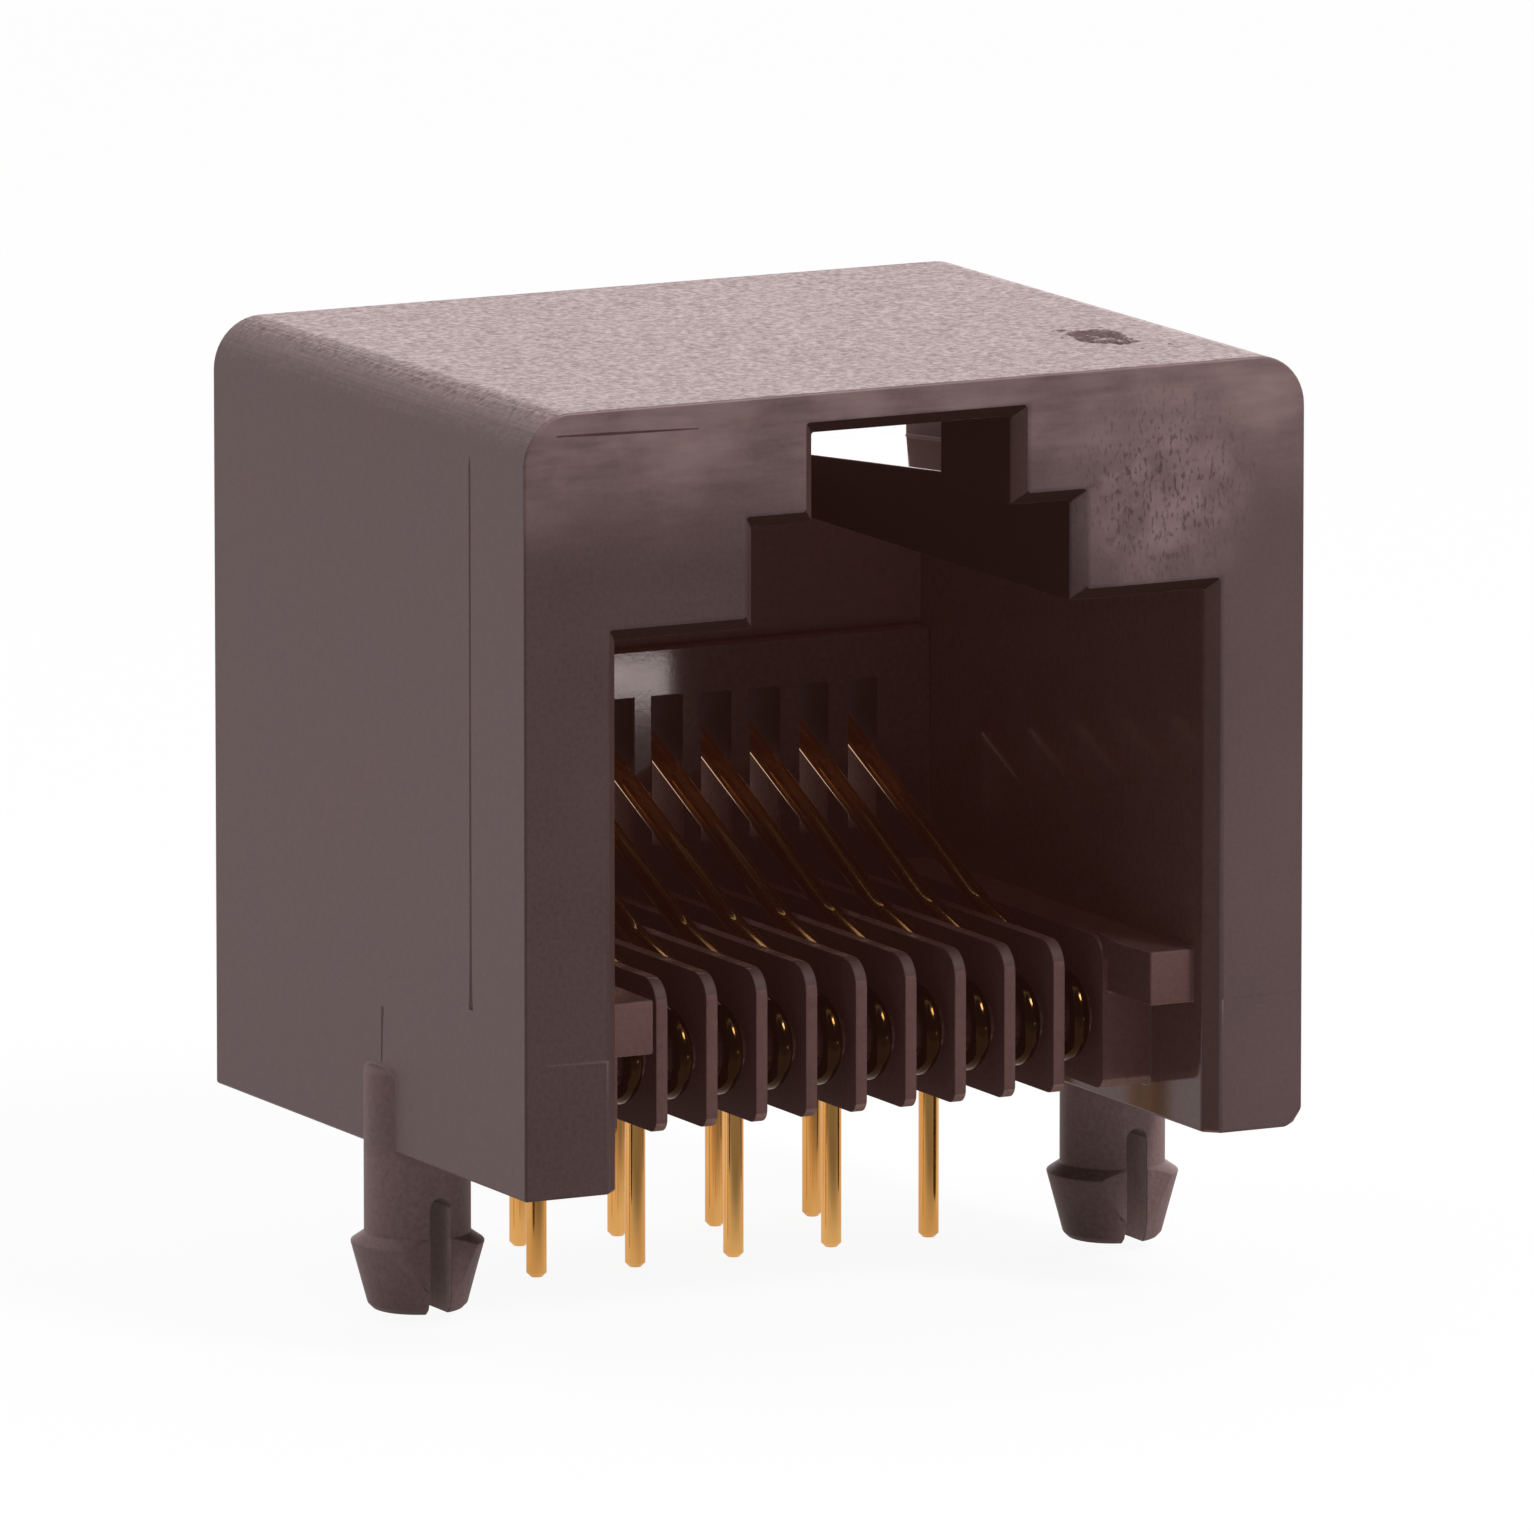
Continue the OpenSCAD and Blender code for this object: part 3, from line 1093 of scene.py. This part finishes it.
    def cut_marks(self, shell: bpy.types.Object, tools: list[bpy.types.Mesh]) -> None:
        """Rounds the edges and cuts the mould marks, and makes the result plain.

        Args:
            shell: object that holds the marked copy.
            tools: closed meshes to cut with.
        """
        bevel = shell.modifiers.new("edge_radii", "BEVEL")
        bevel.limit_method = "WEIGHT"
        bevel.offset_type = "OFFSET"
        bevel.width = self.edge_r * MM
        bevel.segments = self.edge_segments
        bevel.use_clamp_overlap = False
        cutters = []
        for tool in tools:
            cutter = bpy.data.objects.new(tool.name + "_tool", tool)
            bpy.context.scene.collection.objects.link(cutter)
            cut = shell.modifiers.new(tool.name, "BOOLEAN")
            cut.operation = "DIFFERENCE"
            cut.solver = "EXACT"
            cut.object = cutter
            cutters.append(cutter)
        shell.data = plain_mesh(shell)
        shell.modifiers.clear()
        for cutter in cutters:
            bpy.data.objects.remove(cutter)

    def dress(self, shell: bpy.types.Object, materials: list[bpy.types.Material]) -> None:
        """Gives each face the finish of its zone and smooths the shading over the small radii.

        Args:
            shell: the finished shape.
            materials: one for each zone, in order.
        """
        mesh = shell.data
        mesh.materials.clear()
        for material in materials:
            mesh.materials.append(material)
        faces = bmesh.new()
        faces.from_mesh(mesh)
        faces.normal_update()
        for face in faces.faces:
            face.material_index = self.zone(face).value
            face.smooth = True
        faces.to_mesh(mesh)
        faces.free()
        mesh.set_sharp_from_angle(angle=math.radians(self.shade_angle))
        shading = shell.modifiers.new("even_shading", "WEIGHTED_NORMAL")
        shading.keep_sharp = True
        shell.data = plain_mesh(shell)
        shell.modifiers.clear()

    def build(self, grain: bpy.types.NodeTree) -> bpy.types.Object:
        """Makes the housing that is shown.

        Args:
            grain: shared mould grain effect.

        Returns:
            The finished piece.
        """
        materials = [self.finishes[zone].build(grain) for zone in Zone]
        shell = bpy.data.objects.new("housing_shell", self.rounded())
        bpy.context.scene.collection.objects.link(shell)
        self.cut_marks(shell, [self.lines.tool(materials[0]), self.scar.tool()])
        self.dress(shell, materials)
        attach(shell, "root")
        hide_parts(self.node)
        return shell


@dataclass
class Contacts:
    """The row of gold spring wires."""

    prefix: str = "contact"
    finish: GoldWire = GoldWire()

    def build(self, grain: bpy.types.NodeTree) -> list[bpy.types.Object]:
        """Dresses every contact.

        Args:
            grain: shared grain effect.

        Returns:
            The dressed wires, from left to right.
        """
        gold = self.finish.build(grain)
        wires = [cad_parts[name] for name in sorted(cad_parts) if name.startswith(self.prefix)]
        for wire in wires:
            wire.data.materials.clear()
            wire.data.materials.append(gold)
        return wires


@dataclass(frozen=True)
class Lamp:
    """Flat rectangular lamp; the place and the sizes are in millimetres."""

    name: str
    place: Point
    aim: Point
    width: float
    height: float
    radiance: float
    color: Color

    def build(self) -> None:
        """Hangs the lamp; the camera itself doesn't see it."""
        data = bpy.data.lights.new(self.name, "AREA")
        data.shape = "RECTANGLE"
        data.size = self.width * MM
        data.size_y = self.height * MM
        data.energy = self.radiance * math.pi * data.size * data.size_y
        data.color = self.color
        lamp = bpy.data.objects.new(self.name, data)
        place = Vector(self.place)
        turn = (Vector(self.aim) - place).to_track_quat("-Z", "Y").to_matrix().to_4x4()
        lamp.matrix_world = Matrix.Translation(place * MM) @ turn
        lamp.visible_camera = False
        bpy.context.scene.collection.objects.link(lamp)


@dataclass
class Studio:
    """Light tent that is open on the camera's side, white floor and camera.

    Sizes and places are in millimetres. The tent's spans that end in rise, turn or ahead are parts of a
    direction: upwards, away from the camera and along Y.
    """

    eye: Point = (-178.735, -347.499, 76.295)
    aim: Point = (-1.846, -3.563, 7.096)
    lens_mm: float = 507.92
    sensor_mm: float = 36.0
    clip: Span = (10.0, 10000.0)
    open_side: float = 0.05
    rear: float = 1.05
    rear_turn: Span = (0.0, 0.65)
    overhead: float = 1.15
    overhead_rise: Span = (0.12, 0.75)
    overhead_ahead: Span = (-0.5, -0.2)
    strip: float = 1.2
    strip_rise: float = 0.1
    strip_half: Span = (0.16, 0.06)
    strip_turn: Span = (0.8, 0.95)
    floor_size: float = 600.0
    paper: Color = (0.75, 0.75, 0.75)
    backdrop_share: float = 0.9
    backdrop_tone: float = 1.03
    # Painted shadow: the floor's glow, as the jack reflects it, darkens under and in front of the jack
    painted_shadow_edge_y: Span = (-6.0, 4.0)
    sheet_tone: float = 0.83
    front_y: Span = (-20.0, -11.0)
    painted_shadow_tones: Span = (0.04, 0.2)
    lamps: tuple[Lamp, ...] = (
        Lamp("low_strip", (24.0, -42.8, -2.05), (1.0, 0.0, -2.05), 16.0, 1.2, 7.5, (1.0, 0.85, 0.83)),
        Lamp("key", (90.0, -192.0, 212.0), (0.0, -5.0, 5.0), 70.0, 70.0, 33.0, WARM),
    )

    def sight(self) -> tuple[Vector, Vector]:
        """Gives the camera's place and the way that it looks, in metres."""
        eye = Vector(self.eye) * MM
        return eye, Vector(self.aim) * MM - eye

    def seen_backdrop(self, graph: Graph) -> Socket:
        """Adds a mask of the rays that see the white backdrop.

        Args:
            graph: tree that gets the mask.

        Returns:
            A socket that is 1 for camera, glossy and transmission rays.
        """
        path = graph.add("ShaderNodeLightPath")
        first, second, third = (path.outputs[kind.value] for kind in RayKind)
        return graph.math("MAXIMUM", graph.math("MAXIMUM", first, second), third)

    def shown(self, graph: Graph, tone: Socket, seen_tone: float) -> dict[str, Socket]:
        """Adds the colour and strength of a light that the camera sees as plain white.

        Args:
            graph: tree that gets the light.
            tone: strength for rays that light the jack, which see a warm colour.
            seen_tone: strength for the camera.

        Returns:
            The inputs Color and Strength of the light.
        """
        seen = graph.add("ShaderNodeLightPath").outputs[RayKind.CAMERA.value]
        color = graph.blend(seen, opaque(WARM), opaque(WHITE))
        return {"Color": color, "Strength": graph.pick(seen, tone, seen_tone)}

    def build_world(self) -> None:
        """Makes the tent: white behind, above and below, and dark where the camera stands."""
        world = bpy.data.worlds.new("studio")
        bpy.context.scene.world = world
        world.use_nodes = True
        graph = Graph(world.node_tree)
        heading = graph.add("ShaderNodeTexCoord").outputs["Generated"]
        away = self.sight()[1]
        away.z = 0.0
        behind = graph.vector("DOT_PRODUCT", heading, away.normalized()).outputs["Value"]
        rise = graph.axis(heading, "Z")
        rear = graph.ramp(behind, *self.rear_turn, self.open_side, self.rear)
        roof = graph.math(
            "MULTIPLY", graph.ramp(rise, *self.overhead_rise, 0.0, self.overhead),
            graph.ramp(graph.axis(heading, "Y"), *self.overhead_ahead),
        )
        level = graph.math("ABSOLUTE", graph.math("SUBTRACT", rise, self.strip_rise))
        strip = graph.math(
            "MULTIPLY", graph.ramp(level, *self.strip_half), graph.ramp(behind, *self.strip_turn)
        )
        light = graph.math("MULTIPLY_ADD", strip, self.strip, graph.math("MAXIMUM", rear, roof))
        tent = graph.add("ShaderNodeBackground", **self.shown(graph, light, 1.0))
        graph.add("ShaderNodeOutputWorld", Surface=tent.outputs[0])

    def floor_paper(self) -> bpy.types.Material:
        """Makes the white of the floor. Where the jack reflects it, the floor is darkened under and in
        front of the jack as a painted shadow; the camera sees it white.

        Returns:
            The new material.
        """
        material, graph, place = new_material("floor_white")
        depth = graph.axis(place, "Y")
        front = graph.ramp(depth, *metres(self.front_y), *self.painted_shadow_tones)
        sheet = graph.ramp(depth, *metres(self.painted_shadow_edge_y), front, self.sheet_tone)
        paper = graph.add("ShaderNodeBsdfDiffuse", Color=opaque(self.paper))
        glow = graph.add("ShaderNodeEmission", **self.shown(graph, sheet, self.backdrop_tone))
        share = graph.math("MULTIPLY", self.seen_backdrop(graph), self.backdrop_share)
        mix = graph.add("ShaderNodeMixShader", Fac=share)
        graph.put(mix.inputs[1], paper.outputs[0])
        graph.put(mix.inputs[2], glow.outputs[0])
        graph.add("ShaderNodeOutputMaterial", Surface=mix.outputs[0])
        return material

    def build_floor(self) -> None:
        """Lays the floor under the lowest point of the jack."""
        half = self.floor_size * MM / 2
        z = CAD_BOX[0][2]
        mesh = bpy.data.meshes.new("floor")
        corners = [(-half, -half, z), (half, -half, z), (half, half, z), (-half, half, z)]
        mesh.from_pydata(corners, [], [(0, 1, 2, 3)])
        mesh.materials.append(self.floor_paper())
        floor = bpy.data.objects.new("floor", mesh)
        bpy.context.scene.collection.objects.link(floor)

    def build_camera(self) -> None:
        """Places the camera at the viewing angle of the photograph."""
        data = bpy.data.cameras.new("camera")
        data.sensor_width = self.sensor_mm
        data.lens = self.lens_mm
        data.clip_start, data.clip_end = metres(self.clip)
        camera = bpy.data.objects.new("camera", data)
        eye, way = self.sight()
        look = way.to_track_quat("-Z", "Y").to_matrix().to_4x4()
        camera.matrix_world = Matrix.Translation(eye) @ look
        bpy.context.scene.collection.objects.link(camera)
        bpy.context.scene.camera = camera

    def build(self) -> None:
        """Makes the whole studio."""
        self.build_world()
        self.build_floor()
        for lamp in self.lamps:
            lamp.build()
        self.build_camera()
        bpy.context.scene.view_settings.view_transform = "Standard"


def main() -> None:
    """Builds the scene in order and reports each piece."""
    logging.basicConfig(level=logging.INFO, format="%(name)s: %(message)s")
    Studio().build()
    grain = mould_grain()
    for piece in (Housing().build(grain), *Contacts().build(grain)):
        LOG.info("%s: %d faces", piece.name, len(piece.data.polygons))


if __name__ == "__main__":
    main()
